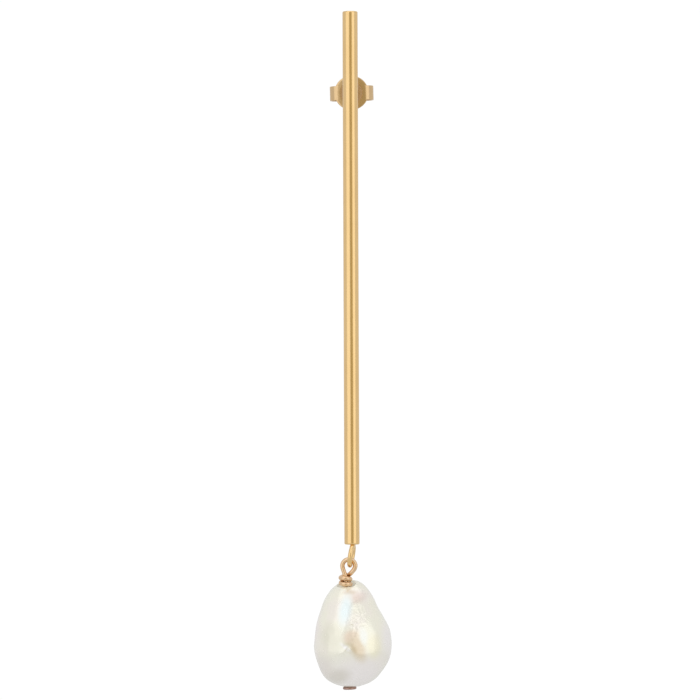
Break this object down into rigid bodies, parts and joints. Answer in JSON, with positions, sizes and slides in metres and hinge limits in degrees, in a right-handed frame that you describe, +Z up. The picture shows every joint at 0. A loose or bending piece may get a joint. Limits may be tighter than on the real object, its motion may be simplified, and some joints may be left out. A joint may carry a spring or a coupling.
{
  "type": "pearl drop earring",
  "caption": "Long slim gold rod on an ear post with a butterfly nut, and a pear-shaped baroque pearl hung from the eye at its foot by a wrapped wire loop.",
  "frame": {"origin": "where the ear post leaves the back of the rod, against the front of the ear lobe", "axes": "+Z up along the rod, +Y backwards along the ear post, and the front of the earring faces -Y"},
  "size_m": [0.0103, 0.017, 0.0891],
  "materials": {
    "rod_gold": "satin gold plate, brushed along the rod",
    "nut_gold": "bright stamped gold-plated sheet",
    "wire_gold": "polished gold-plated wire, slightly rosy",
    "nacre": "cream baroque pearl with a soft pink and green lustre"
  },
  "bodies": {
    "earring": {"bar": "rod_gold", "eye": "rod_gold"},
    "nut": {"ear_nut": "nut_gold"},
    "drop": {"headpin": "wire_gold"},
    "bead": {"pearl": "nacre"}
  },
  "joints": [
    {"name": "nut_slide", "type": "slide", "parent": "earring", "child": "nut", "axis": [0, 1, 0], "range_m": [-0.0045, 0.0085]},
    {"name": "drop_swing", "type": "hinge", "parent": "earring", "child": "drop", "pos_m": [-0.00028, -0.00096, -0.06245], "axis": [0.0958, 0.9954, 0], "range_deg": [-105, 115]},
    {"name": "pearl_spin", "type": "hinge", "parent": "drop", "child": "bead", "pos_m": [-0.00084, -0.00091, -0.06526], "axis": [-0.0347, 0.0033, 0.9994], "continuous": true}
  ]
}
